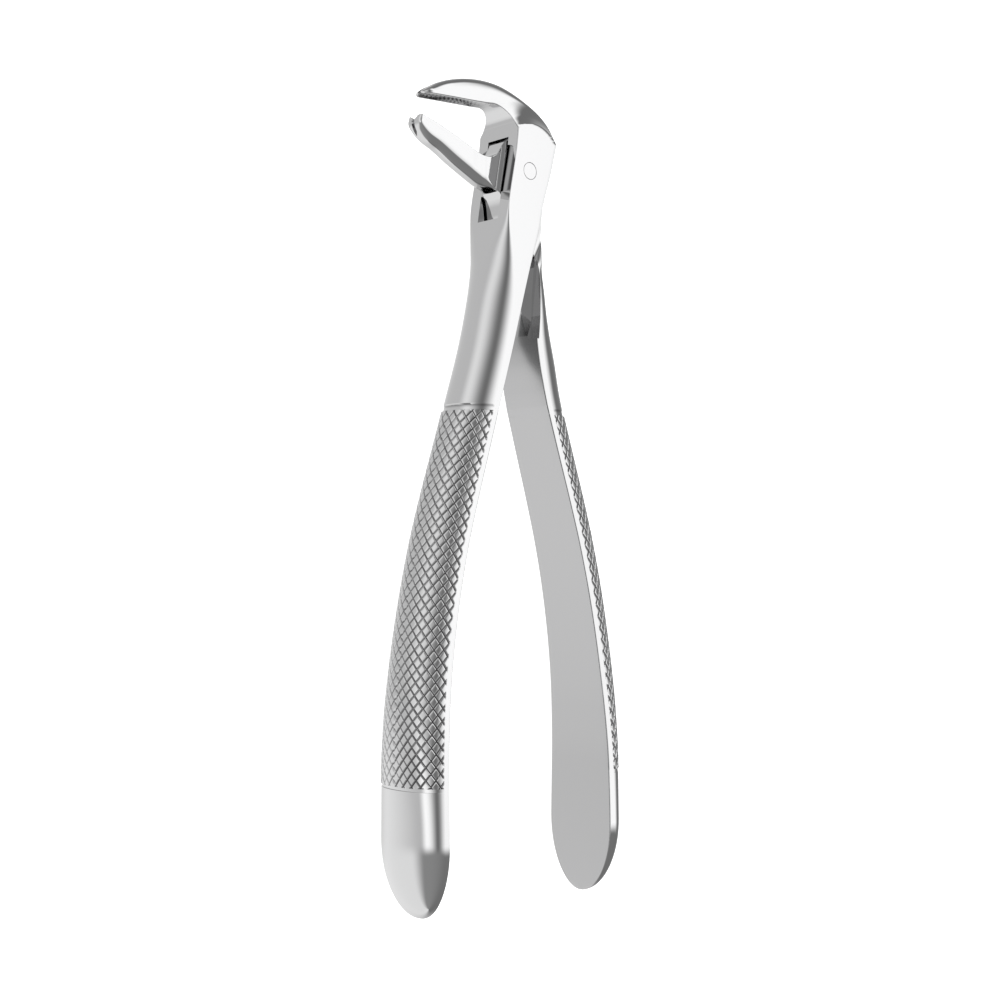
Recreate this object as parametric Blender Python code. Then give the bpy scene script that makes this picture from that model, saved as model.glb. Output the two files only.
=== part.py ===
"""Lower extraction forceps with a box joint: a female half, a male half and the joint pin.

Every length in the tables is in millimetres and is scaled to metres when a mesh is made. The model
lies on its side: the pin runs along Z, the handles run towards -Y and the beaks point towards -X.
The origin is on the pin axis, on the flat outer face of the lower cheek.

Each half is one forging, so each is one skin drawn over a row of sections. A section is a slice
from a front point to a back point in the XY plane, with a half width along Z and a rounded edge at
each end. The slot, the pin holes and the relief are then cut out of it.
"""

import math

import bmesh
import bpy

MM = 0.001

# Joint.
CHEEK_HALF = 5.5  # from the middle plane to the outer face of a cheek
SLOT_HALF = 2.85  # half the gap between the cheeks
WEB_HALF = 2.55  # half the thickness of the web that turns in it
PIN_RADIUS = 1.63
PIN_SEAT_CLEARANCE = 0.03  # between the pin and the cheeks
PIN_RUNNING_CLEARANCE = 0.08  # between the pin and the web
PIN_FACETS = 48
EDGE_BREAK = 0.12  # small round left on the polished edges

# The flat cheek ends above the pin in this arc, and outside it the half width falls to the beak's.
CHEEK_ARC_CENTRE = (1.0, 1.9)
CHEEK_ARC_RADIUS = 6.95
BEAK_HALF = 2.1
# Distance outside the arc -> half width.
FLARE = ((0.0, 5.5), (0.8, 4.75), (1.95, 3.85), (3.85, 2.75), (5.2, 2.3), (8.0, BEAK_HALF))

# Slot through the female half, as an outline in XY. Its floor slopes down to the back.
SLOT_OUTLINE = (
    (-10.0, 5.98),
    (12.0, 7.25),
    (12.0, -25.6),
    (1.2, -15.5),
    (-5.7, -9.05),
    (-10.0, -5.03),
)

# The inner face of the male shank is sunk on both sides of a ridge that continues the web. The
# outlines are in XY, at the ridge and beyond the side wall, and the sunk face slopes between them.
RIDGE_HALF = 2.7
RECESS_OUTER = 7.5
RECESS_AT_RIDGE = ((-12.0, -11.0), (5.2, -11.0), (4.6, -16.0), (3.9, -22.0), (2.9, -29.5), (-12.0, -29.5))
RECESS_AT_WALL = ((-12.0, -11.0), (5.2, -11.0), (4.6, -16.0), (3.9, -22.0), (2.1, -35.5), (-12.0, -35.5))

# Handles.
HANDLE_END = 135.0  # from the pin axis to the end of a handle
HANDLE_END_ROUND = 14.0  # length of the rounded end
NECK = (44.0, 44.9)  # shallow groove at the head of the knurled grip
GRIP_END = (111.4, 112.0)  # the groove at its foot
NECK_DEPTH = 0.3
GRIP_RAISE = 0.25  # the crests of the knurling stand this far out
BACK_PLANE = -1.7  # the handles are mirror images about this X

# Distance from the pin -> half the gap between the handles' flat inner faces.
HANDLE_GAP = (
    (44.0, 5.95),
    (52.0, 8.4),
    (60.0, 10.9),
    (68.0, 13.25),
    (76.0, 15.2),
    (84.0, 16.75),
    (92.0, 17.95),
    (100.0, 18.8),
    (110.0, 19.35),
    (135.0, 19.4),
)
# Distance from the pin -> half the handle's width.
HANDLE_HALF = (
    (44.0, 5.8),
    (60.0, 6.12),
    (76.0, 6.5),
    (92.0, 7.02),
    (108.0, 7.85),
    (122.0, 8.27),
    (135.0, 8.27),
)
# Distance from the pin -> the handle's thickness, without the knurling.
HANDLE_THICKNESS = (
    (44.0, 6.85),
    (61.0, 6.9),
    (79.0, 6.6),
    (97.0, 6.4),
    (110.0, 5.9),
    (120.0, 5.6),
    (135.0, 5.6),
)
HANDLE_WALL = 1.2  # flat side wall beside the inner face; the rest of the thickness is the crown
CROWN_SHARE = 0.985  # how much of the half width the crown's curve takes
GROOVE_EDGE = 0.02  # length over which the crown steps into a groove

# Mesh density.
CORNER_STEPS = 4
WALL_STEPS = 4
FLAT_STEPS = 2
SPAN_STEPS = 2
GRIP_STATIONS = (50.0, 58.0, 66.0, 74.0, 82.0, 90.0, 98.0, 105.0, 116.0)
END_ANGLES = (0, 18, 34, 48, 60, 70, 79, 86)  # round the end of a handle, in degrees
SHARP_ANGLE = 32  # edges sharper than this are shaded sharp, in degrees
CUTTER_REACH = 4.0  # how far a cutter runs past the cheeks


def spline(table, at):
    """A smooth curve through rows of (position, value...), read at one position."""
    rows = [tuple(map(float, row)) for row in table]
    if at <= rows[0][0]:
        return rows[0][1:]
    if at >= rows[-1][0]:
        return rows[-1][1:]
    i = max(j for j in range(len(rows) - 1) if rows[j][0] <= at)
    before, start, end, after = rows[max(i - 1, 0)], rows[i], rows[i + 1], rows[min(i + 2, len(rows) - 1)]
    width = end[0] - start[0]
    s = (at - start[0]) / width
    values = []
    for b, p, q, a in zip(before[1:], start[1:], end[1:], after[1:]):
        tangent_p = (q - b) / (end[0] - before[0]) * width
        tangent_q = (a - p) / (after[0] - start[0]) * width
        values.append(
            p * (2 * s**3 - 3 * s**2 + 1)
            + tangent_p * (s**3 - 2 * s**2 + s)
            + q * (3 * s**2 - 2 * s**3)
            + tangent_q * (s**3 - s**2)
        )
    return tuple(values)


def value(table, at):
    return spline(table, at)[0]


# Rounds, each as (depth, share of the half width).
EDGE = (EDGE_BREAK, 0.04)
LIP = (EDGE_BREAK, 0.1)  # the rim of a gripping face
TIP_LIP = (0.1, 0.1)

# A section is (front x, front y, back x, back y, half width, front round depth, front round share,
# back round depth, back round share, hollow depth). A round's depth runs from the end of the
# section towards its middle, and its share is how much of the half width it takes. The hollow is
# how far the gripping face dips along the middle plane.
def section(front, back, half, front_round=EDGE, back_round=EDGE, hollow=0.0):
    return (*front, *back, half, *front_round, *back_round, hollow)


UPPER_BEAK = (
    section((-21.45, 11.5), (-21.85, 11.85), 1.2, TIP_LIP, (0.3, 0.9), 0.1),
    section((-21.1, 11.48), (-21.4, 12.25), 1.75, TIP_LIP, (0.6, 0.9), 0.4),
    section((-20.2, 11.5), (-20.3, 13.0), 2.1, TIP_LIP, (1.1, 0.95), 0.6),
    section((-18.0, 11.6), (-18.1, 14.2), 2.1, LIP, (1.7, 0.95), 0.8),
    section((-15.0, 11.74), (-15.1, 15.35), 2.1, LIP, (2.1, 0.95), 0.9),
    section((-11.5, 11.88), (-11.4, 16.25), 2.1, LIP, (2.2, 0.95), 0.9),
    section((-8.0, 12.05), (-7.3, 16.65), 2.15, LIP, (2.1, 0.95), 0.5),
    section((-5.45, 12.2), (-3.4, 16.35), 2.2, EDGE, (2.0, 0.95), 0.05),
    section((-4.0, 11.75), (0.2, 15.3), 2.6, EDGE, (1.9, 0.95)),
    section((-3.15, 10.75), (3.3, 13.75), 3.0, EDGE, (1.7, 0.9)),
    section((-2.9, 9.7), (5.6, 12.0), 3.5, EDGE, (1.4, 0.8)),
    section((-2.35, 8.45), (6.9, 10.1), 4.0, EDGE, (1.0, 0.6)),
)
CHEEKS = (
    section((-2.35, 8.45), (6.9, 10.1), 4.0, EDGE, (1.0, 0.6)),
    section((-2.75, 6.6), (7.3, 8.2), 5.0, EDGE, (0.6, 0.3)),
    section((-3.3, 3.9), (6.75, 5.8), 5.5, EDGE, (0.2, 0.06)),
)
BOX = (
    section((-3.3, 3.9), (6.75, 5.8), 5.5, EDGE, (0.2, 0.06)),
    section((-4.15, -0.6), (5.2, 0.0), 5.5),
    section((-5.2, -6.4), (3.15, -6.6), 5.5),
)
FEMALE_SHANK = (
    section((-5.2, -6.4), (3.15, -6.6), 5.5),
    section((-5.8, -10.0), (2.47, -10.0), 5.5, (0.7, 0.3)),
    section((-6.6, -13.5), (1.4, -13.6), 5.5, (2.0, 0.62)),
    section((-7.4, -17.5), (0.2, -17.5), 5.5, (3.3, 0.9)),
    section((-8.9, -24.0), (-1.75, -24.2), 5.55, (4.9, 0.97)),
    section((-11.0, -32.7), (-4.2, -32.8), 5.65, (5.3, CROWN_SHARE)),
    section((-12.45, -38.5), (-5.72, -38.5), 5.72, (5.5, CROWN_SHARE)),
)
LOWER_BEAK = (
    section((-22.85, 7.35), (-23.2, 6.4), 1.2, TIP_LIP, (0.4, 0.9), 0.1),
    section((-22.7, 7.43), (-23.15, 5.7), 1.7, TIP_LIP, (0.8, 0.9), 0.4),
    section((-22.2, 7.36), (-22.6, 4.5), 2.05, TIP_LIP, (1.4, 0.95), 0.6),
    section((-20.9, 7.0), (-21.0, 3.05), 2.1, LIP, (1.9, 0.95), 0.8),
    section((-18.0, 6.08), (-18.3, 1.75), 2.1, LIP, (2.2, 0.95), 0.9),
    section((-14.5, 4.75), (-15.0, -0.1), 2.0, LIP, (2.4, 0.95), 0.9),
    section((-11.5, 3.5), (-11.8, -1.7), 1.95, LIP, (2.5, 0.95), 0.5),
    section((-9.0, 2.55), (-8.9, -3.05), 1.9, EDGE, (2.4, 0.95), 0.05),
    section((-7.3, 2.25), (-7.3, -3.45), 1.95, EDGE, (1.7, 0.8)),
    section((-6.0, 2.45), (-6.0, -3.5), 2.2, EDGE, (0.6, 0.3)),
    section((-5.0, 3.1), (-4.95, -3.95), 2.4, EDGE),
    section((-4.2, 4.2), (-4.1, -4.7), 2.5, EDGE),
    section((-3.7, 5.1), (-3.6, -5.6), WEB_HALF, EDGE),
    section((-3.1, 5.75), (-3.35, -6.6), WEB_HALF),
)
WEB_HEAD = (
    section((-3.1, 5.75), (-3.35, -6.6), WEB_HALF),
    section((0.2, 6.25), (-3.3, -8.0), WEB_HALF),
    section((3.6, 5.1), (-3.25, -9.1), WEB_HALF),
    section((5.6, 2.8), (-3.2, -9.9), WEB_HALF),
)
WEB_FOOT = (
    section((5.6, 2.8), (-3.2, -9.9), WEB_HALF),
    section((6.2, 0.0), (-1.5, -11.1), WEB_HALF),
    section((6.1, -4.0), (0.9, -12.6), WEB_HALF),
    section((5.75, -8.0), (2.65, -13.9), WEB_HALF),
    section((5.6, -11.4), (3.75, -14.9), WEB_HALF, (0.3, 0.2)),
    section((5.6, -12.7), (3.7, -16.0), 2.75, (0.6, 0.4)),
)
MALE_SHANK = (
    section((5.6, -12.7), (3.7, -16.0), 2.75, (0.6, 0.4)),
    section((5.8, -17.6), (3.35, -18.0), 3.9, (2.0, 0.9)),
    section((6.25, -21.9), (3.0, -22.0), 4.7, (2.9, 0.97)),
    section((6.9, -26.2), (2.5, -26.3), 5.05, (3.6, 0.98)),
    section((7.85, -30.1), (1.85, -30.3), 5.35, (4.7, CROWN_SHARE)),
    section((9.1, -35.0), (2.25, -35.0), 5.6, (5.5, CROWN_SHARE)),
    section((10.3, -40.2), (3.5, -40.2), 5.72, (5.55, CROWN_SHARE)),
)


def handle_stations():
    """Distances from the pin at which the handle takes a section, closer together at the rounded end."""
    start = HANDLE_END - HANDLE_END_ROUND
    turning = [start + HANDLE_END_ROUND * math.sin(math.radians(a)) for a in END_ANGLES]
    edges = []
    for low, high in (NECK, GRIP_END):
        edges += [low - GROOVE_EDGE, low, high, high + GROOVE_EDGE]
    return sorted([*GRIP_STATIONS, *edges, *turning])


def crown_offset(distance):
    """How far the crown stands out from the plain handle: up on the grip, in at its two grooves."""
    if NECK[0] <= distance <= NECK[1] or GRIP_END[0] <= distance <= GRIP_END[1]:
        return -NECK_DEPTH
    return GRIP_RAISE if NECK[1] < distance < GRIP_END[0] else 0.0


def handle_section(distance, side):
    """The handle's slice at a distance from the pin: side -1 is the beak side, +1 the other."""
    turn = max(0.0, distance - (HANDLE_END - HANDLE_END_ROUND)) / HANDLE_END_ROUND
    shrink = math.sqrt(max(0.0, 1.0 - turn * turn))
    inner = BACK_PLANE + side * value(HANDLE_GAP, distance)
    thickness = value(HANDLE_THICKNESS, distance) * shrink + crown_offset(distance)
    wall = EDGE_BREAK + (HANDLE_WALL - EDGE_BREAK) * shrink
    outer = inner + side * thickness
    half = value(HANDLE_HALF, distance) * shrink
    return section((outer, -distance), (inner, -distance), half, (thickness - wall, CROWN_SHARE))


def blend_sections(rows):
    """Fills each span between two rows with in-between sections."""
    positions = [0.0]
    for one, two in zip(rows, rows[1:]):
        positions.append(positions[-1] + math.dist(one[:2], two[:2]) + math.dist(one[2:4], two[2:4]))
    table = [(at, *row) for at, row in zip(positions, rows)]
    filled = [rows[0]]
    for start, end in zip(positions, positions[1:]):
        filled += [spline(table, start + (end - start) * k / SPAN_STEPS) for k in range(1, SPAN_STEPS + 1)]
    return filled


def flare_half(x, y):
    """Half width of the female half above the pin: flat cheeks inside the arc, the flare outside it."""
    out = math.dist((x, y), CHEEK_ARC_CENTRE) - CHEEK_ARC_RADIUS
    return value(FLARE, out)


def ring(row, flared):
    """The points of one section, in order round it, starting on the front's middle line."""
    front, back = row[0:2], row[2:4]
    half, front_depth, front_share, back_depth, back_share, hollow = row[4:]
    length = math.dist(front, back)
    side = []
    for k in range(FLAT_STEPS):
        across = k / FLAT_STEPS * (1.0 - front_share)
        side.append((hollow * (1.0 - across**2), across))
    for k in range(CORNER_STEPS + 1):
        a = math.pi / 2 * k / CORNER_STEPS
        side.append((front_depth * (1.0 - math.cos(a)), 1.0 - front_share * (1.0 - math.sin(a))))
    for k in range(1, WALL_STEPS):
        side.append((front_depth + (length - front_depth - back_depth) * k / WALL_STEPS, 1.0))
    for k in range(CORNER_STEPS, -1, -1):
        a = math.pi / 2 * k / CORNER_STEPS
        side.append((length - back_depth * (1.0 - math.cos(a)), 1.0 - back_share * (1.0 - math.sin(a))))
    side.append((length, 0.0))
    points = []
    for depth, across in side + [(d, -a) for d, a in side[-2:0:-1]]:
        t = depth / length
        x = front[0] + (back[0] - front[0]) * t
        y = front[1] + (back[1] - front[1]) * t
        width = flare_half(x, y) * min(1.0, half / BEAK_HALF) if flared else half
        points.append((x, y, across * width))
    return points


def new_object(name, mesh_builder, material):
    mesh = bpy.data.meshes.new(name)
    bm = bmesh.new()
    mesh_builder(bm)
    bmesh.ops.recalc_face_normals(bm, faces=bm.faces)
    bm.to_mesh(mesh)
    bm.free()
    mesh.shade_smooth()
    mesh.set_sharp_from_angle(angle=math.radians(SHARP_ANGLE))
    obj = bpy.data.objects.new(name, mesh)
    bpy.context.scene.collection.objects.link(obj)
    obj.data.materials.append(material)
    return obj


def to_world(point):
    x, y, z = point
    return (x * MM, y * MM, (z + CHEEK_HALF) * MM)


def skin(rings):
    """A builder for the closed skin over a row of rings."""

    def build(bm):
        loops = [[bm.verts.new(to_world(p)) for p in points] for points in rings]
        for one, two in zip(loops, loops[1:]):
            for i in range(len(one)):
                j = (i + 1) % len(one)
                bm.faces.new((one[i], one[j], two[j], two[i]))
        bm.faces.new(loops[0])
        bm.faces.new(loops[-1])

    return build


def prism(outline, low, high, top_outline=None):
    """A builder for an XY outline extruded from one height to another, heights from the middle plane."""

    def build(bm):
        bottom = [bm.verts.new(to_world((x, y, low))) for x, y in outline]
        top = [bm.verts.new(to_world((x, y, high))) for x, y in top_outline or outline]
        for i in range(len(outline)):
            j = (i + 1) % len(outline)
            bm.faces.new((bottom[i], bottom[j], top[j], top[i]))
        bm.faces.new(bottom)
        bm.faces.new(top)

    return build


def circle(radius):
    turn = 2 * math.pi / PIN_FACETS
    return [(radius * math.cos(i * turn), radius * math.sin(i * turn)) for i in range(PIN_FACETS)]


def cut(target, name, builder, material):
    """Subtracts a hidden cutter from the target."""
    cutter = new_object(name, builder, material)
    cutter.hide_render = True
    cutter.display_type = "WIRE"
    modifier = target.modifiers.new(name, "BOOLEAN")
    modifier.operation = "DIFFERENCE"
    modifier.solver = "EXACT"
    modifier.object = cutter


def steel(name, roughness):
    material = bpy.data.materials.new(name)
    material.use_nodes = True
    shader = material.node_tree.nodes["Principled BSDF"]
    shader.inputs["Base Color"].default_value = (0.78, 0.78, 0.79, 1.0)
    shader.inputs["Metallic"].default_value = 1.0
    shader.inputs["Roughness"].default_value = roughness
    return material


def make_female_half(material):
    """The half with the upper beak, the two cheeks and the handle on the beak side."""
    rows = blend_sections(UPPER_BEAK) + blend_sections(CHEEKS)[1:]
    rings = [ring(row, True) for row in rows]
    rows = blend_sections(BOX)[1:] + blend_sections(FEMALE_SHANK)[1:]
    rows += [handle_section(distance, -1) for distance in handle_stations()]
    rings += [ring(row, False) for row in rows]
    body = new_object("female_half", skin(rings), material)
    reach = CHEEK_HALF + CUTTER_REACH
    cut(body, "slot_cutter", prism(SLOT_OUTLINE, -SLOT_HALF, SLOT_HALF), material)
    cut(body, "seat_cutter", prism(circle(PIN_RADIUS + PIN_SEAT_CLEARANCE), -reach, reach), material)
    return body


def make_male_half(material):
    """The half with the lower beak, the web that turns in the slot and the other handle."""
    rows = blend_sections(LOWER_BEAK) + blend_sections(WEB_HEAD)[1:] + blend_sections(WEB_FOOT)[1:]
    rows += blend_sections(MALE_SHANK)[1:]
    rows += [handle_section(distance, 1) for distance in handle_stations()]
    body = new_object("male_half", skin([ring(row, False) for row in rows]), material)
    reach = CHEEK_HALF + CUTTER_REACH
    cut(body, "bore_cutter", prism(circle(PIN_RADIUS + PIN_RUNNING_CLEARANCE), -reach, reach), material)
    for side, name in ((-1, "far_recess_cutter"), (1, "near_recess_cutter")):
        builder = prism(RECESS_AT_RIDGE, side * RIDGE_HALF, side * RECESS_OUTER, RECESS_AT_WALL)
        cut(body, name, builder, material)
    return body


def main():
    for obj in list(bpy.data.objects):
        bpy.data.objects.remove(obj, do_unlink=True)
    polished = steel("polished_steel", 0.18)
    pin_steel = steel("pin_steel", 0.14)
    make_female_half(polished)
    make_male_half(polished)
    new_object("joint_pin", prism(circle(PIN_RADIUS), -CHEEK_HALF, CHEEK_HALF), pin_steel)


main()
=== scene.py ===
"""The looks of the lower extraction forceps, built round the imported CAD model.

Lengths in the tables are in millimetres, with z measured from the middle plane between the cheeks.
Each half is one skin drawn over a row of sections, as in the CAD, with many more of them. The slot,
the pin's holes, the reliefs, the recesses and the tip grooves are cut out of its head, and the
knurled grip and the rounded end of the handle are then joined on.
"""

import math

import bmesh
import bpy
import numpy as np
from mathutils import Matrix, Vector


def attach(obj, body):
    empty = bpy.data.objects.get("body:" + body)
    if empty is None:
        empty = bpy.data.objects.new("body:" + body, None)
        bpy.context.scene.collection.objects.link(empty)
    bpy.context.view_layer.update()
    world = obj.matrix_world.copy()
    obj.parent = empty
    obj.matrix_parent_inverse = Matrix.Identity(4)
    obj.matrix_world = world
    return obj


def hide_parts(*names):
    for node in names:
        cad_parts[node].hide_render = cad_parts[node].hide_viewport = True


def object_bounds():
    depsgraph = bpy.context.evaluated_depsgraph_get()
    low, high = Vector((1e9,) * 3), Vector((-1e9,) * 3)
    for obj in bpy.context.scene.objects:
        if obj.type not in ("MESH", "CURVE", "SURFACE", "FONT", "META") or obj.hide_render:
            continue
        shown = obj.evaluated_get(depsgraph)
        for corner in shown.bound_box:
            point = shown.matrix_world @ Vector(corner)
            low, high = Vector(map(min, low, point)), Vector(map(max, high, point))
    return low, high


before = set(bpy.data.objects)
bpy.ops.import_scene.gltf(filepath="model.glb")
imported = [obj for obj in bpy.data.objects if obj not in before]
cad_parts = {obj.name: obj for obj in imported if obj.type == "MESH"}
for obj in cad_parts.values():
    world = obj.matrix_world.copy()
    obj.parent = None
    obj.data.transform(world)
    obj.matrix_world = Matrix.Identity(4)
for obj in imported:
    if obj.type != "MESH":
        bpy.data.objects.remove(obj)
CAD_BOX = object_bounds()

MM = 0.001

# ---------------------------------------------------------------------------------------------
# Shape
# ---------------------------------------------------------------------------------------------

CHEEK_HALF = 5.5
SLOT_HALF = 2.85
WEB_HALF = 2.38
PIN_RADIUS = 1.57
SEAT_RADIUS = 1.59
BORE_RADIUS = 1.71
CUTTER_REACH = CHEEK_HALF + 4.0
PIN_EDGE = 0.07  # chamfer round the pin's end
CAP_RING = 0.4  # width of the ring of faces inside it
# The rim round the pin's end, as (beyond the seat's radius, z).
RIM_PROFILE = ((-0.4, 5.0), (0.0, 5.46), (0.1, 5.56), (0.1, 6.0))

# The relief on the inner front edge of a cheek, in Y and Z, with a rounded upper end.
RELIEF_FOOT = -4.1
RELIEF_REACH = 6.2
RELIEF_ROUND_CENTRE = (2.6, 2.3)
RELIEF_ROUND = (2.3, 3.2)
RELIEF_ROUND_STEPS = 12
RELIEF_FRONT = -9.0  # X where its cutter starts
RELIEF_EDGE = ((-3.25, 3.8), (-4.7, -3.5))  # the line of the cheek's front edge, in XY
RELIEF_DEPTH = 0.42  # behind that line at the slot; it runs out at the cheek's face

CHEEK_ARC_CENTRE = (1.0, 1.9)
CHEEK_ARC_RADIUS = 6.95
BEAK_HALF = 2.1
FLARE = ((0.0, 5.5), (0.8, 4.75), (1.95, 3.85), (3.85, 2.75), (5.2, 2.3), (8.0, BEAK_HALF))

THROAT_CENTRE = (-6.1, 9.0)
THROAT_RADIUS = 3.2

SLOT_OUTLINE = (
    (-10.0, 5.98),
    (12.0, 7.25),
    (12.0, -25.6),
    (1.2, -15.5),
    (-5.7, -9.05),
    (-10.0, -5.03),
)

RIDGE_HALF = 2.7
RECESS_OUTER = 7.5
RECESS_OUTLINE = (
    (-12.0, -13.0),
    (4.15, -13.0),
    (3.95, -16.0),
    (3.3, -22.0),
    (2.95, -26.5),
    (2.3, -30.9),
    (-12.0, -30.9),
)
# Each is (low z, outline there, high z, outline there): the run-out at the foot of the ridge, then
# the shallow recess beside it.
RECESSES = (
    (
        -0.01,
        ((-12.0, -22.0), (3.0, -22.0), (2.75, -25.5), (1.6, -28.5), (-12.0, -28.5)),
        RIDGE_HALF + 0.02,
        ((-12.0, -22.0), (3.0, -22.0), (2.75, -27.5), (1.6, -30.9), (-12.0, -30.9)),
    ),
    (RIDGE_HALF, RECESS_OUTLINE, RECESS_OUTER, RECESS_OUTLINE),
)

# The groove that splits the tip of each beak, as an outline in XY.
TIP_GROOVE_HALF = 0.38
UPPER_TIP_GROOVE = (
    (-23.0, 11.0),
    (-20.7, 11.0),
    (-21.1, 12.1),
    (-20.2, 12.8),
    (-20.0, 13.8),
    (-23.0, 13.8),
)
LOWER_TIP_GROOVE = ((-24.5, 8.5), (-21.7, 8.5), (-22.6, 5.3), (-21.7, 3.2), (-24.5, 3.2))

HANDLE_END = 134.96
HANDLE_END_ROUND = 14.0
NECK = (44.0, 44.9)
GRIP_END = (111.4, 112.0)
NECK_DEPTH = 0.3
NECK_CHAMFER = 0.3
GRIP_RAISE = 0.23
BACK_PLANE = -1.7
HANDLE_WALL = 1.2
CROWN_SHARE = 0.985
HANDLE_GAP = (
    (38.0, 4.15),
    (44.0, 5.95),
    (52.0, 8.4),
    (60.0, 10.9),
    (68.0, 13.25),
    (76.0, 15.2),
    (84.0, 16.75),
    (92.0, 17.95),
    (100.0, 18.8),
    (110.0, 19.35),
    (135.0, 19.4),
)
HANDLE_HALF = (
    (38.0, 5.72),
    (44.0, 5.8),
    (60.0, 6.12),
    (76.0, 6.5),
    (92.0, 7.02),
    (108.0, 7.85),
    (122.0, 8.26),
    (135.0, 8.26),
)
HANDLE_THICKNESS = (
    (38.0, 6.83),
    (44.0, 6.85),
    (61.0, 6.9),
    (79.0, 6.6),
    (97.0, 6.4),
    (110.0, 5.9),
    (120.0, 5.6),
    (135.0, 5.6),
)

# Knurling: diamonds standing between two families of V grooves.
KNURL_ALONG = 2.235  # length of a diamond along the handle
KNURL_ACROSS = 1.8  # and across it, measured round the crown
KNURL_CELLS = 12  # mesh cells to a diamond, each way
KNURL_GROOVE_CELLS = 1.45  # half the width of a groove, in the same cells
KNURL_DEPTH = 0.21
KNURL_FADE = 0.2  # the grooves run out over this width at the side wall
KNURL_PHASE = {-1: (47.35, 0.45), 1: (47.9, 0.45)}

EDGE = (0.12, 0.04)
LIP = (0.12, 0.1)
TIP_LIP = (0.1, 0.1)


def section(front, back, half, front_round=EDGE, back_round=EDGE, hollow=0.0):
    return (*front, *back, half, *front_round, *back_round, hollow)


UPPER_BEAK = (
    section((-21.45, 11.5), (-21.85, 11.85), 1.2, TIP_LIP, (0.3, 0.9), 0.3),
    section((-21.1, 11.48), (-21.4, 12.25), 1.75, TIP_LIP, (0.6, 0.9), 0.55),
    section((-20.2, 11.5), (-20.3, 13.0), 2.1, TIP_LIP, (1.1, 0.95), 0.8),
    section((-18.0, 11.6), (-18.1, 14.2), 2.1, LIP, (2.1, 0.95), 0.8),
    section((-15.0, 11.74), (-15.1, 15.35), 2.1, LIP, (2.4, 0.95), 0.9),
    section((-11.5, 11.88), (-11.4, 16.25), 2.1, LIP, (2.6, 0.95), 0.9),
    section((-8.0, 12.05), (-7.3, 16.64), 2.15, LIP, (2.6, 0.95), 0.5),
    section((-5.45, 12.2), (-3.4, 16.35), 2.2, LIP, (2.4, 0.95), 0.05),
    section((-4.0, 11.75), (0.2, 15.3), 2.6, EDGE, (2.2, 0.95)),
    section((-3.15, 10.75), (3.3, 13.75), 3.0, EDGE, (1.7, 0.9)),
    section((-2.9, 9.7), (5.6, 12.0), 3.5, EDGE, (1.4, 0.8)),
    section((-2.85, 8.45), (6.9, 10.1), 4.0, EDGE, (1.0, 0.6)),
    section((-2.97, 6.6), (7.3, 8.2), 5.0, EDGE, (0.6, 0.3)),
    section((-3.3, 3.9), (6.75, 5.8), 5.5, EDGE, (0.2, 0.06)),
)
FEMALE_SHANK = (
    section((-3.3, 3.9), (6.75, 5.8), 5.5, EDGE, (0.2, 0.06)),
    section((-4.15, -0.6), (5.2, 0.0), 5.5),
    section((-5.2, -6.4), (3.15, -6.6), 5.5),
    section((-5.8, -10.0), (2.47, -10.0), 5.5, (0.7, 0.3)),
    section((-6.6, -13.5), (1.4, -13.6), 5.5, (2.0, 0.62)),
    section((-7.4, -17.5), (0.2, -17.5), 5.5, (3.3, 0.9)),
    section((-8.9, -24.0), (-1.75, -24.2), 5.55, (4.9, 0.97)),
    section((-11.0, -32.7), (-4.2, -32.8), 5.65, (5.3, CROWN_SHARE)),
)
MALE_HEAD = (
    section((-22.85, 7.35), (-23.2, 6.4), 1.25, TIP_LIP, (0.4, 0.9), 0.8),
    section((-22.7, 7.43), (-23.15, 5.7), 1.7, TIP_LIP, (0.8, 0.9), 1.2),
    section((-22.2, 7.36), (-22.6, 4.5), 2.05, TIP_LIP, (1.4, 0.95), 1.2),
    section((-20.9, 7.0), (-21.0, 3.05), 2.1, LIP, (1.9, 0.95), 0.8),
    section((-18.0, 6.08), (-18.3, 1.75), 2.1, LIP, (2.2, 0.95), 0.9),
    section((-14.5, 4.75), (-15.0, -0.1), 2.0, LIP, (2.4, 0.95), 0.9),
    section((-11.5, 3.5), (-11.8, -1.7), 1.95, LIP, (2.5, 0.95), 0.5),
    section((-9.0, 2.55), (-8.9, -3.05), 1.9, LIP, (2.4, 0.95), 0.05),
    section((-7.3, 2.25), (-7.3, -3.45), 1.95, EDGE, (1.7, 0.8)),
    section((-6.0, 2.45), (-6.0, -3.5), WEB_HALF, EDGE, (0.6, 0.3)),
    section((-5.0, 3.1), (-4.95, -3.95), WEB_HALF),
    section((-4.2, 4.2), (-4.3, -4.9), WEB_HALF),
    section((-3.7, 5.1), (-4.0, -5.9), WEB_HALF),
    section((-3.1, 5.75), (-3.85, -6.9), WEB_HALF),
    section((0.2, 6.25), (-3.75, -8.0), WEB_HALF),
    section((3.6, 5.1), (-3.5, -9.1), WEB_HALF),
    section((5.6, 2.8), (-3.2, -9.9), WEB_HALF),
    section((6.2, 0.0), (-1.5, -11.1), WEB_HALF),
    section((6.1, -4.0), (0.9, -12.6), WEB_HALF),
    section((5.75, -8.0), (2.65, -13.9), WEB_HALF),
    section((5.6, -11.4), (3.75, -14.9), WEB_HALF, (0.3, 0.2)),
    section((5.6, -12.7), (3.7, -16.0), 2.75, (0.6, 0.4)),
    section((5.8, -17.6), (3.35, -18.0), 3.9, (2.0, 0.9)),
    section((6.25, -21.9), (3.0, -22.0), 4.7, (2.9, 0.97)),
    section((6.9, -26.2), (2.5, -26.3), 5.05, (3.6, 0.98)),
    section((7.85, -30.1), (1.85, -30.3), 5.35, (4.7, CROWN_SHARE)),
    section((9.1, -35.0), (2.25, -35.0), 5.6, (5.5, CROWN_SHARE)),
    section((10.12, -40.2), (3.3, -40.2), 5.72, (5.6, CROWN_SHARE)),
)

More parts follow.
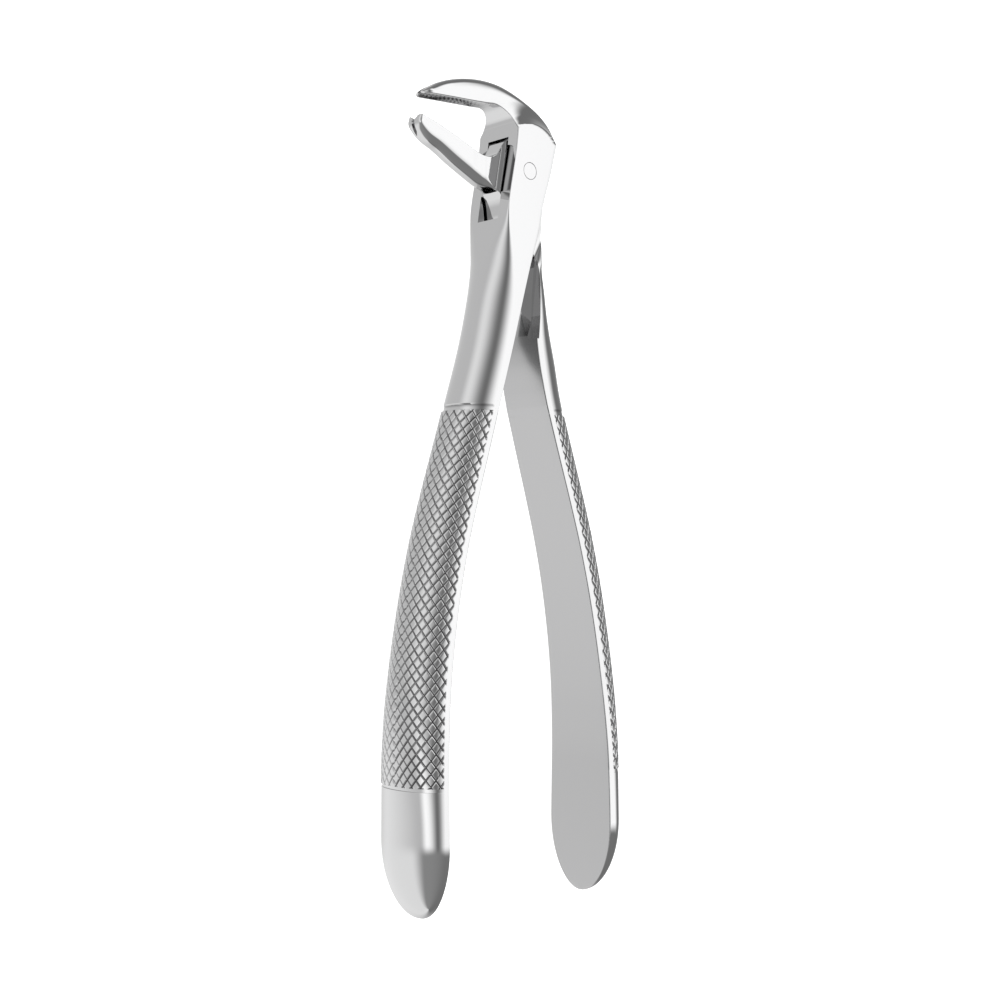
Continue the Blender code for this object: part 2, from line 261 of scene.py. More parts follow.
# The facet where the web widens out of the lower beak: it ends on this line, in XY.
WEB_LINE = ((-2.9, 5.1), (-4.7, -4.6))
WEB_FACET_SLOPE = 0.48
WEB_FACET_LOW = 1.93

TOOTH_PITCH = 0.9  # of the fine teeth across the hollow of a beak
TOOTH_DEPTH = 0.1  # as a share of the hollow's depth
HOLLOW_SHARE = 0.76  # the hollow's width as a share of the face; the rest is the flat rims
RING = {"flat": 20, "front": 16, "wall": 16, "back": 14}
GRIP_RING = {"flat": 8, "wall": 8, "back": 4}
NECK_PAINTED_SHADE = 0.8  # painted shade: how far the edges of the neck are darkened, as in the knurling's grooves
GROUND_AND_SHADE_FACING = 0.85  # how squarely a face must face the other handle
GROUND_AND_SHADE_FROM = 26.0  # the ground faces, whose colour is also darkened as painted shade, begin at this distance from the pin
SHARP_ANGLE = 28  # edges sharper than this are shaded sharp, in degrees
SEAM = 0.002  # the knurled skin starts this close to the floor of a neck
SEAM_STEP = 0.03
GRIP_REACH = 9.9  # more than half the way round the crown
END_STATIONS = (24, 64)  # before and round the end of a handle
BEAK_SPACING = 0.2
RING_SPACING = 0.24  # between rings of the head


def spline(table, at):
    """A smooth curve through rows of (position, value...), read at one position."""
    last = len(table) - 1
    if at <= table[0][0]:
        return np.array(table[0][1:], float)
    if at >= table[last][0]:
        return np.array(table[last][1:], float)
    i = max(j for j in range(last) if table[j][0] <= at)
    rows = np.array([table[max(i - 1, 0)], table[i], table[i + 1], table[min(i + 2, last)]], float)
    places, (before, p, q, after) = rows[:, 0], rows[:, 1:]
    width = places[2] - places[1]
    s = (at - places[1]) / width
    tangent_p = (q - before) / (places[2] - places[0]) * width
    tangent_q = (after - p) / (places[3] - places[1]) * width
    return (
        p * (2 * s**3 - 3 * s**2 + 1)
        + tangent_p * (s**3 - 2 * s**2 + s)
        + q * (3 * s**2 - 2 * s**3)
        + tangent_q * (s**3 - s**2)
    )


def value(table, at):
    return float(spline(table, at)[0])


def crown_offset(distance):
    if NECK[0] <= distance <= NECK[1] or GRIP_END[0] <= distance <= GRIP_END[1]:
        return -NECK_DEPTH
    return GRIP_RAISE if NECK[1] < distance < GRIP_END[0] else 0.0


def handle_section(distance, side, offset=None):
    """The handle's slice at a distance from the pin: side -1 is the beak side, +1 the other."""
    turn = max(0.0, distance - (HANDLE_END - HANDLE_END_ROUND)) / HANDLE_END_ROUND
    shrink = math.sqrt(max(0.0, 1.0 - turn * turn))
    inner = BACK_PLANE + side * value(HANDLE_GAP, distance)
    offset = crown_offset(distance) if offset is None else offset
    thickness = value(HANDLE_THICKNESS, distance) * shrink + offset
    wall = EDGE[0] + (HANDLE_WALL - EDGE[0]) * shrink
    half = value(HANDLE_HALF, distance) * shrink
    return np.array(
        section(
            (inner + side * thickness, -distance),
            (inner, -distance),
            half,
            (thickness - wall, CROWN_SHARE),
        )
    )


def rows_between(rows, spacing):
    """Sections along the spline through these rows, about this far apart."""
    at = [0.0]
    for one, two in zip(rows, rows[1:]):
        at.append(at[-1] + (math.dist(one[:2], two[:2]) + math.dist(one[2:4], two[2:4])) / 2)
    table = [(place, *row) for place, row in zip(at, rows)]
    places = []
    for start, end in zip(at, at[1:]):
        steps = max(2, math.ceil((end - start) / spacing))
        places += [start + (end - start) * k / steps for k in range(steps)]
    return [spline(table, place) for place in places + [at[-1]]]


def cheek_width(x, y, half):
    """Half width of the female half above the pin: flat inside the cheek's arc, flared outside."""
    out = math.dist((x, y), CHEEK_ARC_CENTRE) - CHEEK_ARC_RADIUS
    return value(FLARE, out) * min(1.0, half / BEAK_HALF)


def web_width(x, y, half):
    """Half width of the male half's head: the web narrows to the beak over the facet."""
    (x1, y1), (x0, y0) = WEB_LINE
    line = x0 + (x1 - x0) * (y - y0) / (y1 - y0)
    facet = max(WEB_FACET_LOW, WEB_HALF - WEB_FACET_SLOPE * max(0.0, line - x))
    return min(half, facet) if y > y0 - 1.0 or x < x0 else half


def plain_width(x, y, half):
    return half


def ring(row, width, counts=RING):
    """The points of one section, in order round it, from the front's middle line."""
    front, back = row[0:2], row[2:4]
    half, front_depth, front_share, back_depth, back_share, hollow = row[4:]
    length = math.dist(front, back)
    side = []
    tooth = 1.0 + TOOTH_DEPTH * math.cos(2 * math.pi * front[0] / TOOTH_PITCH)
    for k in range(counts["flat"]):
        across = k / counts["flat"] * (1.0 - front_share)
        side.append((hollow * tooth * max(0.0, 1.0 - (across / HOLLOW_SHARE) ** 2), across))
    for k in range(counts["front"] + 1):
        a = math.pi / 2 * k / counts["front"]
        side.append((front_depth * (1 - math.cos(a)), 1 - front_share * (1 - math.sin(a))))
    for k in range(1, counts["wall"]):
        depth = front_depth + (length - front_depth - back_depth) * k / counts["wall"]
        side.append((depth, 1.0))
    for k in range(counts["back"], -1, -1):
        a = math.pi / 2 * k / counts["back"]
        side.append((length - back_depth * (1 - math.cos(a)), 1 - back_share * (1 - math.sin(a))))
    side.append((length, 0.0))
    points = []
    for depth, across in side + [(d, -a) for d, a in side[-2:0:-1]]:
        t = depth / length
        x = front[0] + (back[0] - front[0]) * t
        y = front[1] + (back[1] - front[1]) * t
        points.append((x, y, across * width(x, y, half)))
    return np.array(points)


def crown_arc(depth, share):
    """The crown's curve, as depths and as shares of the half width."""
    a = np.linspace(0.0, math.pi / 2, 361)
    return depth * (1 - np.cos(a)), 1 - share * (1 - np.sin(a))


def grip_ring(distance, side, columns):
    """One knurled section. Its crown's points stand at fixed steps round the crown."""
    row = handle_section(distance, side, GRIP_RAISE)
    front_x, y, back_x, half, crown = row[0], row[1], row[2], row[4], row[5]
    depths, shares = crown_arc(crown, CROWN_SHARE)
    widths = shares * half
    steps = np.hypot(np.diff(depths), np.diff(widths))
    arc = np.concatenate([[0.0], np.cumsum(steps)])
    phase_along, phase_across = KNURL_PHASE[side]
    step = KNURL_ACROSS / KNURL_CELLS
    s = phase_across + step * np.arange(-columns, columns + 1)
    s = np.clip(s, -arc[-1], arc[-1])
    deep = np.interp(np.abs(s), arc, depths)
    wide = np.interp(np.abs(s), arc, widths)
    slope_d = np.interp(np.abs(s), (arc[1:] + arc[:-1]) / 2, np.diff(depths) / steps)
    slope_w = np.interp(np.abs(s), (arc[1:] + arc[:-1]) / 2, np.diff(widths) / steps)
    along = (distance - phase_along) / KNURL_ALONG
    across = (s - phase_across) / KNURL_ACROSS
    sunk = np.zeros_like(s)
    for turned in (along + across, along - across):
        away = (0.5 - np.abs(turned - np.round(turned))) * KNURL_CELLS
        sunk = np.maximum(sunk, 1.0 - away / KNURL_GROOVE_CELLS)
    sunk *= KNURL_DEPTH * np.clip((arc[-1] - np.abs(s)) / KNURL_FADE, 0.0, 1.0)
    grooves = sunk / KNURL_DEPTH
    x = front_x - side * (deep + sunk * slope_w)
    z = np.sign(s) * (wide - sunk * slope_d)
    crown_points = np.stack([x, np.full_like(x, y), z], 1)
    edge_x = front_x - side * crown
    wall = []
    corner, turn = EDGE[0], GRIP_RING["back"]
    for k in range(1, GRIP_RING["wall"]):
        wall.append((edge_x + (back_x + side * corner - edge_x) * k / GRIP_RING["wall"], half))
    for k in range(turn + 1):
        a = math.pi / 2 * (1 - k / turn)
        wall.append((back_x + side * corner * (1 - math.cos(a)), half - EDGE[1] * half * (1 - math.sin(a))))
    for k in range(1, GRIP_RING["flat"] + 1):
        wall.append((back_x, half * (1 - EDGE[1]) * (1 - k / GRIP_RING["flat"])))
    right = [(wx, y, wz) for wx, wz in wall]
    left = [(wx, y, -wz) for wx, wz in reversed(wall[:-1])]
    points = np.concatenate([crown_points, np.array(right + left)])
    return points, np.concatenate([grooves, np.zeros(len(right) + len(left))])


def grip_distances(side):
    """Stations along the grip, on the mesh lines that the grooves cross at."""
    phase = KNURL_PHASE[side][0]
    step = KNURL_ALONG / KNURL_CELLS
    low, high = NECK[1] + 0.01, GRIP_END[0] - 0.01
    first, last = math.ceil((low - phase) / step), math.floor((high - phase) / step)
    inside = [phase + step * k for k in range(first, last + 1)]
    return [low] + [d for d in inside if low + 0.03 < d < high - 0.03] + [high]


# ---------------------------------------------------------------------------------------------
# Mesh building
# ---------------------------------------------------------------------------------------------


def to_world(points):
    points = np.array(points, float)
    points[:, 2] += CHEEK_HALF
    return points * MM


def skin_bmesh(bm, rings, cap_first=True, cap_last=True):
    """Adds a skin of quads over rings of one point count."""
    loops = [[bm.verts.new(p) for p in to_world(points)] for points in rings]
    for one, two in zip(loops, loops[1:]):
        for i in range(len(one)):
            j = (i + 1) % len(one)
            bm.faces.new((one[i], one[j], two[j], two[i]))
    if cap_first:
        bm.faces.new(loops[0])
    if cap_last:
        bm.faces.new(loops[-1])
    return loops


def finish_mesh(bm, name):
    bmesh.ops.recalc_face_normals(bm, faces=bm.faces)
    mesh = bpy.data.meshes.new(name)
    bm.to_mesh(mesh)
    bm.free()
    obj = bpy.data.objects.new(name, mesh)
    bpy.context.scene.collection.objects.link(obj)
    return obj


def prism(outline, low, high, name, top_outline=None):
    """An XY outline extruded from one height to another, or drawn on to a second outline."""
    bm = bmesh.new()
    bottom = [bm.verts.new(p) for p in to_world([(x, y, low) for x, y in outline])]
    top = [bm.verts.new(p) for p in to_world([(x, y, high) for x, y in top_outline or outline])]
    for i in range(len(outline)):
        j = (i + 1) % len(outline)
        bm.faces.new((bottom[i], bottom[j], top[j], top[i]))
    bm.faces.new(bottom)
    bm.faces.new(top)
    return finish_mesh(bm, name)


def turned(profile, name, steps=96):
    """A solid of revolution about the pin's axis from (radius, z) points."""
    bm = bmesh.new()
    rings = []
    for radius, z in profile:
        points = [
            (radius * math.cos(2 * math.pi * k / steps), radius * math.sin(2 * math.pi * k / steps), z)
            for k in range(steps)
        ]
        rings.append([bm.verts.new(p) for p in to_world(points)])
    for one, two in zip(rings, rings[1:]):
        for i in range(steps):
            j = (i + 1) % steps
            bm.faces.new((one[i], one[j], two[j], two[i]))
    bm.faces.new(rings[0])
    bm.faces.new(rings[-1])
    return finish_mesh(bm, name)


def cut(target, cutters):
    """Subtracts each cutter and applies it."""
    for cutter in cutters:
        modifier = target.modifiers.new(cutter.name, "BOOLEAN")
        modifier.operation = "DIFFERENCE"
        modifier.solver = "EXACT"
        modifier.object = cutter
    bpy.context.view_layer.update()
    graph = bpy.context.evaluated_depsgraph_get()
    mesh = bpy.data.meshes.new_from_object(target.evaluated_get(graph))
    target.modifiers.clear()
    target.data = mesh
    for cutter in cutters:
        bpy.data.objects.remove(cutter, do_unlink=True)


def zip_loops(bm, one, two):
    """Joins two closed loops of different counts that run the same way, by angle round their middle."""
    middle = sum((v.co for v in two), Vector()) / len(two)

    def order(loop):
        angles = [math.atan2(v.co.z - middle.z, v.co.x - middle.x) for v in loop]
        start = angles.index(min(angles))
        loop, angles = loop[start:] + loop[:start], angles[start:] + angles[:start]
        if sum(b > a for a, b in zip(angles, angles[1:])) < len(angles) / 2:
            loop, angles = [loop[0]] + loop[:0:-1], [angles[0]] + angles[:0:-1]
        return loop, angles

    one, angles_one = order(one)
    two, angles_two = order(two)
    i = j = 0
    while i < len(one) or j < len(two):
        next_one = angles_one[i + 1] if i + 1 < len(one) else angles_one[0] + 2 * math.pi
        next_two = angles_two[j + 1] if j + 1 < len(two) else angles_two[0] + 2 * math.pi
        a, b = one[i % len(one)], two[j % len(two)]
        if j >= len(two) or (i < len(one) and next_one <= next_two):
            bm.faces.new((a, b, one[(i + 1) % len(one)]))
            i += 1
        else:
            bm.faces.new((a, b, two[(j + 1) % len(two)]))
            j += 1


def boundary_loop(bm, y):
    """The open boundary loop in the plane of this y, in order."""
    edges = [e for e in bm.edges if e.is_boundary and all(abs(v.co.y - y) < 1e-6 for v in e.verts)]
    ahead = {}
    for e in edges:
        a, b = e.verts
        ahead.setdefault(a, []).append(b)
        ahead.setdefault(b, []).append(a)
    start = edges[0].verts[0]
    loop, last, here = [start], None, start
    while True:
        step = [v for v in ahead[here] if v is not last][0]
        if step is start:
            return loop
        loop.append(step)
        last, here = here, step


def split_flatter(bm, faces):
    """Splits each quad along its flatter diagonal, which follows the groove through it."""
    for f in faces:
        a, b, c, d = f.verts
        one, two = (b.co - a.co).cross(c.co - a.co), (c.co - a.co).cross(d.co - a.co)
        fold = one.normalized().dot(two.normalized())
        one, two = (b.co - a.co).cross(d.co - a.co), (c.co - b.co).cross(d.co - b.co)
        other = one.normalized().dot(two.normalized())
        verts = (a, c) if fold >= other else (b, d)
        bmesh.utils.face_split(f, *verts)


def make_half(name, side, head_rings, cutters):
    """The head with its cuts, then the grip and the end of the handle, as one closed mesh."""
    bm = bmesh.new()
    skin_bmesh(bm, head_rings)
    obj = finish_mesh(bm, name)
    cut(obj, cutters)
    bm = bmesh.new()
    bm.from_mesh(obj.data)
    groove = bm.verts.layers.float.new("groove")
    wall = (BACK_PLANE + side * (value(HANDLE_GAP, NECK[0]) + HANDLE_WALL + NECK_CHAMFER)) * MM
    # Painted shade: the edges of the neck get the groove mark, which darkens their colour.
    for vert in bm.verts:
        if abs(vert.co.y + NECK[0] * MM) < NECK_CHAMFER * MM / 2 and vert.co.x * side > wall * side:
            vert[groove] = NECK_PAINTED_SHADE
    middle_neck = -(NECK[0] + NECK[1]) / 2 * MM
    cap = [f for f in bm.faces if all(abs(v.co.y - middle_neck) < 1e-7 for v in f.verts)]
    bmesh.ops.delete(bm, geom=cap, context="FACES_ONLY")
    head_loop = boundary_loop(bm, middle_neck)

    columns = math.ceil(GRIP_REACH / (KNURL_ACROSS / KNURL_CELLS))
    neck_shape = [handle_ring(d, side) for d in (NECK[1] - SEAM_STEP, NECK[1] - SEAM)]
    foot_shape = [handle_ring(d, side) for d in (GRIP_END[0] + SEAM, GRIP_END[0] + SEAM_STEP)]
    neck_loops = skin_bmesh(bm, neck_shape, False, False)
    # Painted shade on the neck's other edge as well.
    for vert in neck_loops[1]:
        if vert.co.x * side > wall * side:
            vert[groove] = NECK_PAINTED_SHADE
    zip_loops(bm, head_loop, neck_loops[0])
    grip = [grip_ring(d, side, columns) for d in grip_distances(side)]
    before = set(bm.faces)
    grip_loops = skin_bmesh(bm, [points for points, _ in grip], False, False)
    # Each groove's depth goes into the mark, which darkens the colour there as painted shade.
    for loop, (_, depths) in zip(grip_loops, grip):
        for vert, depth in zip(loop, depths):
            vert[groove] = max(0.0, depth)
    cells = [f for f in bm.faces if f not in before]
    split_flatter(bm, cells)
    zip_loops(bm, neck_loops[-1], grip_loops[0])
    foot_loops = skin_bmesh(bm, foot_shape, False, False)
    zip_loops(bm, grip_loops[-1], foot_loops[0])
    distances = [GRIP_END[1] - 0.02, GRIP_END[1], GRIP_END[1] + 0.02, GRIP_END[1] + 0.08]
    start = HANDLE_END - HANDLE_END_ROUND
    distances += list(np.linspace(GRIP_END[1] + 0.4, start, END_STATIONS[0]))
    angles = np.linspace(0.0, math.radians(89.0), END_STATIONS[1])[1:]
    distances += [start + HANDLE_END_ROUND * math.sin(a) for a in angles]
    end_rings = [handle_ring(d, side) for d in distances]
    end_loops = skin_bmesh(bm, end_rings, False, True)
    one, two = foot_loops[-1], end_loops[0]
    for i in range(len(one)):
        j = (i + 1) % len(one)
        bm.faces.new((one[i], one[j], two[j], two[i]))
    bmesh.ops.remove_doubles(bm, verts=bm.verts, dist=2e-7)
    bmesh.ops.recalc_face_normals(bm, faces=bm.faces)
    bm.to_mesh(obj.data)
    bm.free()
    mesh = obj.data
    mesh.shade_smooth()
    mesh.set_sharp_from_angle(angle=math.radians(SHARP_ANGLE))
    modifier = obj.modifiers.new("area_normals", "WEIGHTED_NORMAL")
    modifier.mode = "FACE_AREA"
    modifier.weight = 50
    modifier.keep_sharp = True
    mark_ground_and_shade(obj, side)
    return obj


def mark_ground_and_shade(obj, side):
    """Marks the flat inner face of the handle, which is ground and not mirror polished; the mark also
    darkens its colour as painted shade between the handles.
    """
    mesh = obj.data
    attribute = mesh.attributes.new("ground_and_shade", "FLOAT", "FACE")
    for face in mesh.polygons:
        inner = face.normal.x * side < -GROUND_AND_SHADE_FACING and face.center.y < -GROUND_AND_SHADE_FROM * MM
        attribute.data[face.index].value = 1.0 if inner else 0.0


def handle_ring(distance, side):
    return ring(handle_section(distance, side), plain_width)


def neck_rows(side):
    """From the end of the shank down its chamfer and halfway along the floor of the neck."""
    start, middle = NECK[0], (NECK[0] + NECK[1]) / 2
    rows = [(start - 0.5, 0.0), (start - NECK_CHAMFER - 0.02, 0.0), (start - NECK_CHAMFER, -0.01)]
    rows += [(start, -NECK_DEPTH), (start + 0.04, -NECK_DEPTH), (middle, -NECK_DEPTH)]
    return [handle_section(distance, side, offset) for distance, offset in rows]


def on_throat(row):
    """Puts the front of a section that lies in the throat on the throat's arc."""
    x, y = row[0] - THROAT_CENTRE[0], row[1] - THROAT_CENTRE[1]
    if x > 0.0 and y > 0.0:
        row = row.copy()
        row[0] = THROAT_CENTRE[0] + THROAT_RADIUS * x / math.hypot(x, y)
        row[1] = THROAT_CENTRE[1] + THROAT_RADIUS * y / math.hypot(x, y)
    return row


def female_half():
    beak = [on_throat(row) for row in rows_between(UPPER_BEAK, BEAK_SPACING)]
    start = [handle_section(d, -1) for d in (NECK[0] - 0.7, NECK[0] - 0.01)]
    shank = rows_between([np.array(r) for r in FEMALE_SHANK] + start[:1], RING_SPACING * 1.5)
    rings = [ring(row, cheek_width) for row in beak]
    rings += [ring(row, plain_width) for row in shank[1:]]
    rings += [ring(row, plain_width) for row in neck_rows(-1)]
    cutters = [prism(SLOT_OUTLINE, -SLOT_HALF, SLOT_HALF, "slot")]
    cutters.append(prism(UPPER_TIP_GROOVE, -TIP_GROOVE_HALF, TIP_GROOVE_HALF, "tip_groove"))
    cutters.append(turned(((SEAT_RADIUS, -CUTTER_REACH), (SEAT_RADIUS, CUTTER_REACH)), "seat"))
    for sign in (-1, 1):
        cutters.append(relief_cutter(sign))
        rim = [(SEAT_RADIUS + out, z * sign) for out, z in RIM_PROFILE]
        cutters.append(turned(rim, "rim"))
    return make_half("female_half_polished", -1, rings, cutters)


def relief_cutter(sign):
    """The tapered relief on the inner front edge of a cheek, with a rounded upper end."""
    centre_y, centre_z = RELIEF_ROUND_CENTRE
    outline = [(RELIEF_FOOT, RELIEF_REACH), (centre_y, RELIEF_REACH)]
    for k in range(RELIEF_ROUND_STEPS + 1):
        a = math.pi / 2 * k / RELIEF_ROUND_STEPS
        outline.append((centre_y + RELIEF_ROUND[0] * math.sin(a), centre_z + RELIEF_ROUND[1] * math.cos(a)))
    outline.append((RELIEF_FOOT, centre_z))
    (high_x, high_y), (low_x, low_y) = RELIEF_EDGE
    bm = bmesh.new()
    front, back = [], []
    for y, z in outline:
        edge = high_x + (low_x - high_x) * (high_y - y) / (high_y - low_y)
        depth = RELIEF_DEPTH * (CHEEK_HALF - z) / (CHEEK_HALF - SLOT_HALF)
        front.append((RELIEF_FRONT, y, z * sign))
        back.append((edge + depth, y, z * sign))
    low = [bm.verts.new(p) for p in to_world(front)]
    high = [bm.verts.new(p) for p in to_world(back)]
    for i in range(len(low)):
        j = (i + 1) % len(low)
        bm.faces.new((low[i], low[j], high[j], high[i]))
    bm.faces.new(low)
    bm.faces.new(high)
    return finish_mesh(bm, "relief")


def male_half():
    start = [handle_section(NECK[0] - 0.7, 1)]
    head = rows_between([np.array(r) for r in MALE_HEAD] + start, RING_SPACING)
    rings = [ring(row, web_width) for row in head]
    rings += [ring(row, plain_width) for row in neck_rows(1)]
    cutters = [turned(((BORE_RADIUS, -CUTTER_REACH), (BORE_RADIUS, CUTTER_REACH)), "bore")]
    cutters.append(prism(LOWER_TIP_GROOVE, -TIP_GROOVE_HALF, TIP_GROOVE_HALF, "tip_groove"))
    for low, low_outline, high, high_outline in RECESSES:
        for sign in (-1, 1):
            cutters.append(prism(low_outline, sign * low, sign * high, "recess", high_outline))
    return make_half("male_half_polished", 1, rings, cutters)


def pin():
    flat, h = PIN_RADIUS - PIN_EDGE, CHEEK_HALF
    profile = [(flat - CAP_RING, -h), (flat, -h)]
    profile += [(PIN_RADIUS, -h + PIN_EDGE), (PIN_RADIUS, h - PIN_EDGE), (flat, h), (flat - CAP_RING, h)]
    obj = turned(profile, "joint_pin_polished")
    obj.data.shade_smooth()
    obj.data.set_sharp_from_angle(angle=math.radians(SHARP_ANGLE))
    return obj


# ---------------------------------------------------------------------------------------------
# Materials
# ---------------------------------------------------------------------------------------------

STEEL = (0.45, 0.45, 0.452)
# Painted shade: the colour of the ground inner faces, which face the other handle, is darkened to this
# share.
SATIN_AND_PAINTED_SHADE = 0.78
GROOVE_SHADE = 0.42  # painted shade: how dark the colour at the bottom of a groove in the knurling is
SATIN_ROUGHNESS = 0.2


def steel_material(name, roughness, scratches):
    material = bpy.data.materials.new(name)
    material.use_nodes = True
    nodes, links = material.node_tree.nodes, material.node_tree.links
    shader = nodes["Principled BSDF"]
    shader.inputs["Base Color"].default_value = (*STEEL, 1.0)
    shader.inputs["Metallic"].default_value = 1.0
    coordinates = nodes.new("ShaderNodeTexCoord")
    stretch = nodes.new("ShaderNodeMapping")
    stretch.inputs["Scale"].default_value = (9000.0, 900.0, 9000.0)
    grain = nodes.new("ShaderNodeTexNoise")
    grain.inputs["Scale"].default_value = 1.0
    grain.inputs["Detail"].default_value = 3.0
    links.new(coordinates.outputs["Object"], stretch.inputs["Vector"])
    links.new(stretch.outputs["Vector"], grain.inputs["Vector"])
    cloud = nodes.new("ShaderNodeTexNoise")
    cloud.inputs["Scale"].default_value = 120.0
    cloud.inputs["Detail"].default_value = 4.0
    links.new(coordinates.outputs["Object"], cloud.inputs["Vector"])
    blend = nodes.new("ShaderNodeMath")
    blend.operation = "MULTIPLY"
    links.new(grain.outputs["Fac"], blend.inputs[0])
    links.new(cloud.outputs["Fac"], blend.inputs[1])
    spread = nodes.new("ShaderNodeMapRange")
    spread.inputs["From Min"].default_value = 0.1
    spread.inputs["From Max"].default_value = 0.45
    spread.inputs["To Min"].default_value = roughness * 0.8
    spread.inputs["To Max"].default_value = roughness * 1.3
    links.new(blend.outputs["Value"], spread.inputs["Value"])
    ground_and_shade = nodes.new("ShaderNodeAttribute")
    ground_and_shade.attribute_name = "ground_and_shade"
    satin = nodes.new("ShaderNodeMix")
    satin.inputs["B"].default_value = SATIN_ROUGHNESS
    links.new(ground_and_shade.outputs["Fac"], satin.inputs["Factor"])
    links.new(spread.outputs["Result"], satin.inputs["A"])
    links.new(satin.outputs["Result"], shader.inputs["Roughness"])
    # The ground faces get a darker colour as painted shade, besides their real rougher finish.
    colour = nodes.new("ShaderNodeMix")
    colour.data_type = "RGBA"
    colour.inputs["A"].default_value = (*STEEL, 1.0)
    colour.inputs["B"].default_value = (*(SATIN_AND_PAINTED_SHADE * c for c in STEEL), 1.0)
    links.new(ground_and_shade.outputs["Fac"], colour.inputs["Factor"])
    groove = nodes.new("ShaderNodeAttribute")
    groove.attribute_name = "groove"
    # Painted shade: the colour darkens towards the bottom of each groove and at the neck's edges.
    groove_painted_shade = nodes.new("ShaderNodeMix")
    groove_painted_shade.data_type = "RGBA"
    groove_painted_shade.inputs["B"].default_value = (*(GROOVE_SHADE * c for c in STEEL), 1.0)
    links.new(groove.outputs["Fac"], groove_painted_shade.inputs["Factor"])
    links.new(colour.outputs["Result"], groove_painted_shade.inputs["A"])
    links.new(groove_painted_shade.outputs["Result"], shader.inputs["Base Color"])
    bump = nodes.new("ShaderNodeBump")
    bump.inputs["Strength"].default_value = scratches
    bump.inputs["Distance"].default_value = 0.000002
    links.new(grain.outputs["Fac"], bump.inputs["Height"])
    links.new(bump.outputs["Normal"], shader.inputs["Normal"])
    return material


# ---------------------------------------------------------------------------------------------
# Studio
# ---------------------------------------------------------------------------------------------

# The studio is set from five shades: dark flags, dim walls, a fill, an open white wall
# and the key soft box. A row goes round the Y axis: -90 is down, 0 is -X, 90 is up, 180 is +X.
FLAG = 105
DIM = 130
FILL = 180
OPEN = 215
KEY = 250
STUDIO_MIDDLE = ((-180, FLAG), (-110, FILL), (-25, FILL), (10, OPEN), (75, FLAG), (130, KEY), (160, FLAG))
STUDIO_LOW = (
    (-180, FLAG),
    (-110, FILL),
    (-70, OPEN),
    (0, FILL),
    (20, KEY),
    (70, FLAG),
    (140, KEY),
    (170, FLAG),
)
STUDIO_BELOW = ((-180, FLAG), (-70, OPEN), (-25, OPEN), (10, DIM), (180, FLAG))
STUDIO_ABOVE = ((-180, FLAG), (-60, DIM), (20, FILL), (80, FLAG), (110, KEY), (140, KEY), (165, FLAG))
# Where each of them holds, as the Y part of the direction.
STUDIO_BANDS = (
    (-0.3, STUDIO_BELOW),
    (-0.15, STUDIO_LOW),
    (0.05, STUDIO_MIDDLE),
    (0.65, STUDIO_MIDDLE),
    (0.85, STUDIO_ABOVE),
)


def linear(grey):
    c = grey / 255.0
    return c / 12.92 if c <= 0.04045 else ((c + 0.055) / 1.055) ** 2.4


def studio_world():
    world = bpy.data.worlds.new("studio")
    bpy.context.scene.world = world
    world.use_nodes = True
    nodes, links = world.node_tree.nodes, world.node_tree.links
    background = nodes["Background"]
    direction = nodes.new("ShaderNodeTexCoord")
    split = nodes.new("ShaderNodeSeparateXYZ")
    links.new(direction.outputs["Generated"], split.inputs["Vector"])
    back = nodes.new("ShaderNodeMath")
    back.operation = "MULTIPLY"
    back.inputs[1].default_value = -1.0
    links.new(split.outputs["X"], back.inputs[0])
    angle = nodes.new("ShaderNodeMath")
    angle.operation = "ARCTAN2"
    links.new(split.outputs["Z"], angle.inputs[0])
    links.new(back.outputs["Value"], angle.inputs[1])
    place = nodes.new("ShaderNodeMapRange")
    place.inputs["From Min"].default_value = -math.pi
    place.inputs["From Max"].default_value = math.pi
    links.new(angle.outputs["Value"], place.inputs["Value"])
    brightest = linear(KEY)
    previous = None
    for (low, _), (high, table) in zip(((None, None),) + STUDIO_BANDS, STUDIO_BANDS):
        ramp = nodes.new("ShaderNodeValToRGB")
        ramp.color_ramp.interpolation = "EASE"
        elements = ramp.color_ramp.elements
        while len(elements) < len(table):
            elements.new(0.5)
        for element, (degrees, grey) in zip(elements, table):
            element.position = (degrees + 180.0) / 360.0
            level = linear(grey) / brightest
            element.color = (level, level, level, 1.0)
        links.new(place.outputs["Result"], ramp.inputs["Fac"])
        if previous is None:
            previous = ramp.outputs["Color"]
            continue
        share = nodes.new("ShaderNodeMapRange")
        share.interpolation_type = "SMOOTHSTEP"
        share.inputs["From Min"].default_value = low
        share.inputs["From Max"].default_value = high
        links.new(split.outputs["Y"], share.inputs["Value"])
        mix = nodes.new("ShaderNodeMix")
        mix.data_type = "RGBA"
        links.new(share.outputs["Result"], mix.inputs["Factor"])
        links.new(previous, mix.inputs["A"])
        links.new(ramp.outputs["Color"], mix.inputs["B"])
        previous = mix.outputs["Result"]
    links.new(previous, background.inputs["Color"])
    background.inputs["Strength"].default_value = brightest / STEEL[0]


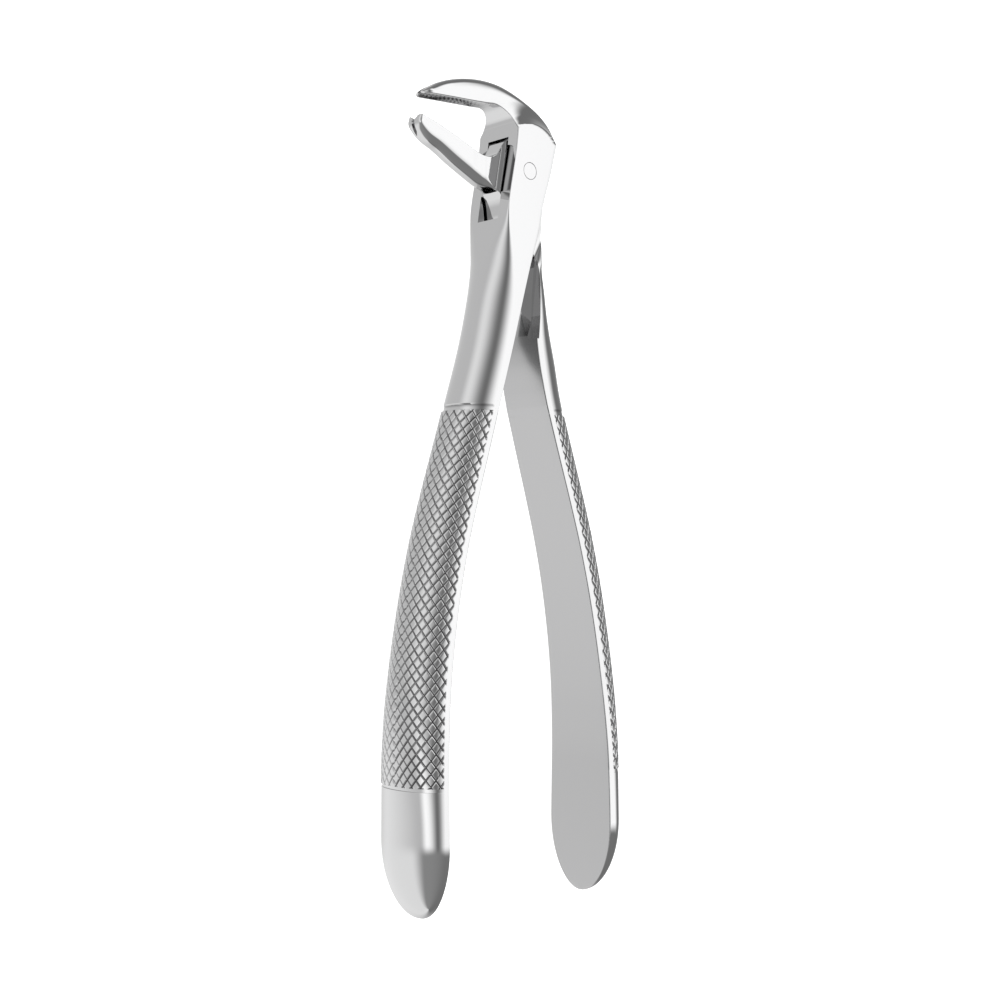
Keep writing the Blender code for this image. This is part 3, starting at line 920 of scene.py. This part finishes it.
def studio_floor():
    low = CAD_BOX[0].z
    bm = bmesh.new()
    corners = [(-2.0, -2.0), (2.0, -2.0), (2.0, 2.0), (-2.0, 2.0)]
    bm.faces.new([bm.verts.new((x, y, low)) for x, y in corners])
    floor = finish_mesh(bm, "floor")
    material = bpy.data.materials.new("pale_floor")
    material.use_nodes = True
    shader = material.node_tree.nodes["Principled BSDF"]
    shader.inputs["Base Color"].default_value = (0.85, 0.85, 0.85, 1.0)
    shader.inputs["Roughness"].default_value = 0.9
    shader.inputs["Specular IOR Level"].default_value = 0.0
    shader.inputs["Emission Color"].default_value = (1.0, 1.0, 1.0, 1.0)
    shader.inputs["Emission Strength"].default_value = 0.9
    floor.data.materials.append(material)
    floor.visible_glossy = False


CAMERA_LENS = 59.235
CAMERA_PLACE = (-0.202537, -0.071902, 0.234995)  # in metres
# The directions of the picture's right and top, and the direction from the object to the camera.
CAMERA_RIGHT = (0.753726, -0.000128, 0.656587)
CAMERA_UP = (-0.023820, 0.999336, 0.027539)
CAMERA_BACK = (-0.656155, -0.036426, 0.753222)


def camera():
    data = bpy.data.cameras.new("camera")
    data.sensor_width = 36.0
    data.lens = CAMERA_LENS
    data.clip_start, data.clip_end = 0.01, 10.0
    obj = bpy.data.objects.new("camera", data)
    bpy.context.scene.collection.objects.link(obj)
    turn = Matrix((CAMERA_RIGHT, CAMERA_UP, CAMERA_BACK)).transposed().to_4x4()
    obj.matrix_world = Matrix.Translation(CAMERA_PLACE) @ turn
    bpy.context.scene.camera = obj


def main():
    polished = steel_material("polished_steel", 0.06, 0.08)
    pin_steel = steel_material("pin_steel", 0.06, 0.08)
    pieces = (
        (female_half(), "female", "female_half", polished, "polished_steel"),
        (male_half(), "male", "male_half", polished, "polished_steel"),
        (pin(), "female", "joint_pin", pin_steel, "pin_steel"),
    )
    for obj, body, node, material, slot in pieces:
        obj.data.materials.clear()
        obj.data.materials.append(material)
        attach(obj, body)
        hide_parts(node)
    studio_world()
    studio_floor()
    camera()
    bpy.context.scene.view_settings.view_transform = "Standard"
    bpy.context.scene.view_settings.look = "None"


main()
